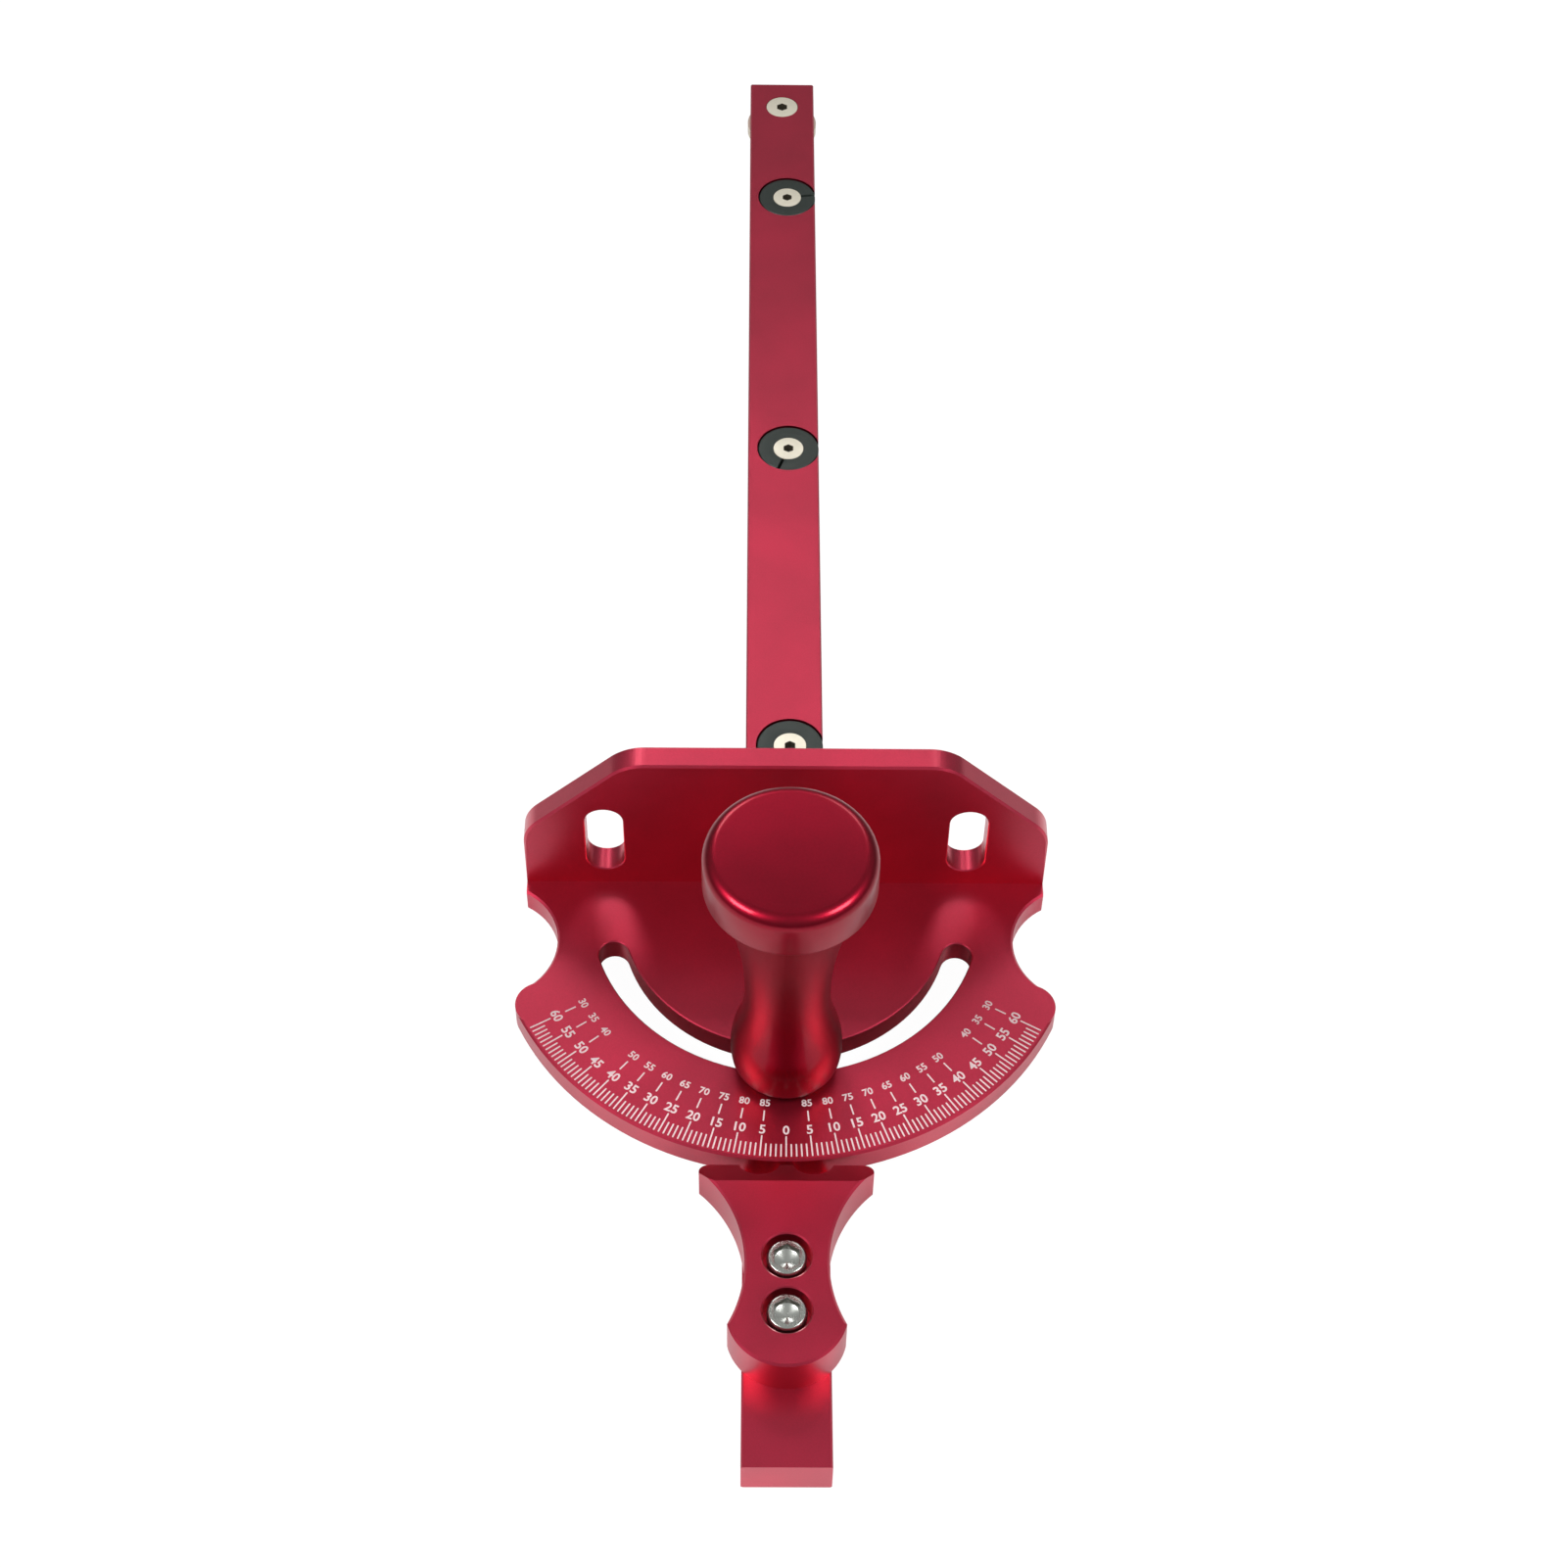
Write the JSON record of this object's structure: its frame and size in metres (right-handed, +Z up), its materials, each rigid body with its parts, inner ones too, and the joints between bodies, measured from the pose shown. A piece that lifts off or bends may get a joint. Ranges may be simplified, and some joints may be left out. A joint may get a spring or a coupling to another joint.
{
  "type": "mitre gauge",
  "caption": "Woodworking mitre gauge: a long guide bar carries a swinging L-shaped head with a degree scale, an arc slot, a clamp handle and a pointer block.",
  "frame": {"origin": "on the pivot axis of the head, at the underside of the bar", "axes": "+Y along the bar towards its long end, +Z up out of the slot, +X towards the side where the expansion washers bear"},
  "size_m": [0.1228, 0.45, 0.093],
  "materials": {
    "anodised_red": "bead-blasted and anodised, satin",
    "polished_steel": "polished",
    "nickel_plate": "dull plated",
    "bronze": "turned",
    "dark_nylon": "moulded"
  },
  "bodies": {
    "bar": {"bar": "anodised_red", "index_block": "anodised_red", "index_screw_rear": "polished_steel", "index_screw_front": "polished_steel", "pivot_bush": "bronze", "pivot_washer": "polished_steel", "pivot_spring_washer": "polished_steel", "pivot_screw": "polished_steel", "expansion_washer_near": "dark_nylon", "expansion_washer_middle": "dark_nylon", "expansion_washer_far": "dark_nylon", "t_slot_washer": "nickel_plate", "t_slot_screw": "nickel_plate"},
    "head": {"head": "anodised_red"},
    "clamp_washer": {"clamp_washer": "polished_steel"},
    "handle": {"handle": "anodised_red", "lock_stud": "polished_steel"},
    "adjuster_near": {"adjust_screw_near": "nickel_plate"},
    "adjuster_middle": {"adjust_screw_middle": "nickel_plate"},
    "adjuster_far": {"adjust_screw_far": "nickel_plate"}
  },
  "joints": [
    {"name": "head_swing", "type": "hinge", "parent": "bar", "child": "head", "pos_m": [0, 0, 0.0125], "axis": [0, 0, 1], "range_deg": [-70, 70]},
    {"name": "clamp_lift", "type": "slide", "parent": "bar", "child": "clamp_washer", "axis": [0, 0, 1], "range_m": [0, 0.002]},
    {"name": "handle_turn", "type": "hinge", "parent": "clamp_washer", "child": "handle", "pos_m": [0, -0.0415, 0.0165], "axis": [0, 0, 1], "range_deg": [0, 720]},
    {"name": "adjuster_near_turn", "type": "hinge", "parent": "bar", "child": "adjuster_near", "pos_m": [0.0014, 0.0545, 0.0093], "axis": [0, 0, 1], "range_deg": [-180, 180]},
    {"name": "adjuster_middle_turn", "type": "hinge", "parent": "bar", "child": "adjuster_middle", "pos_m": [0.0014, 0.158, 0.0093], "axis": [0, 0, 1], "range_deg": [-180, 180]},
    {"name": "adjuster_far_turn", "type": "hinge", "parent": "bar", "child": "adjuster_far", "pos_m": [0.0014, 0.2615, 0.0093], "axis": [0, 0, 1], "range_deg": [-180, 180]}
  ],
  "couplings": [
    {"joint": "clamp_lift", "follows": "handle_turn", "m_per_rad": 0.000159}
  ]
}
